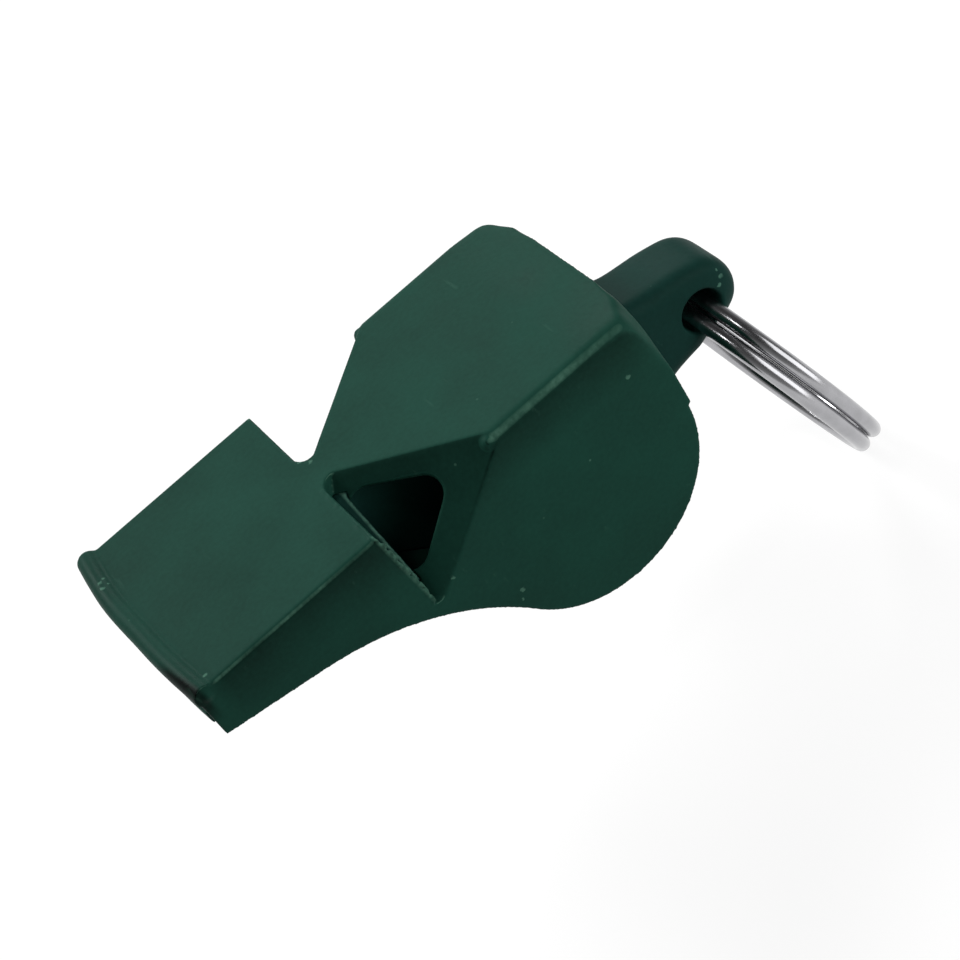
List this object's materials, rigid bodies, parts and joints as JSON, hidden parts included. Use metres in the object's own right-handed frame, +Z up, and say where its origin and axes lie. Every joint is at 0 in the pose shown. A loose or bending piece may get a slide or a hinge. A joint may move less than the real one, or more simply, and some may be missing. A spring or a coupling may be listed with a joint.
{
  "type": "sports whistle",
  "caption": "Pealess sports whistle in green plastic: boxy mouthpiece, round sound drum, slanting sound windows, a lanyard ear at the back and a split ring that swings in it.",
  "frame": {"origin": "on the flat top, at the middle of the line where the two slanting blowing slots end", "axes": "+X runs back along the whistle to the lanyard ear, +Y runs across the body and +Z runs up, out of the flat top"},
  "size_m": [0.06, 0.0242, 0.0351],
  "materials": {
    "shell": "moulded, satin to semi-gloss, with fine scuffs",
    "core": "moulded, satin to semi-gloss",
    "cover": "moulded, satin to semi-gloss",
    "ring": "bright nickel plate on spring steel"
  },
  "bodies": {
    "whistle": {"body_shell": "shell", "chamber_core": "core", "base_cover": "cover"},
    "ring": {"split_ring": "ring"}
  },
  "joints": [
    {"name": "ring_swing", "type": "hinge", "parent": "whistle", "child": "ring", "pos_m": [0.0332, 0, -0.0115], "axis": [0, -1, 0], "range_deg": [-64, 196]}
  ]
}
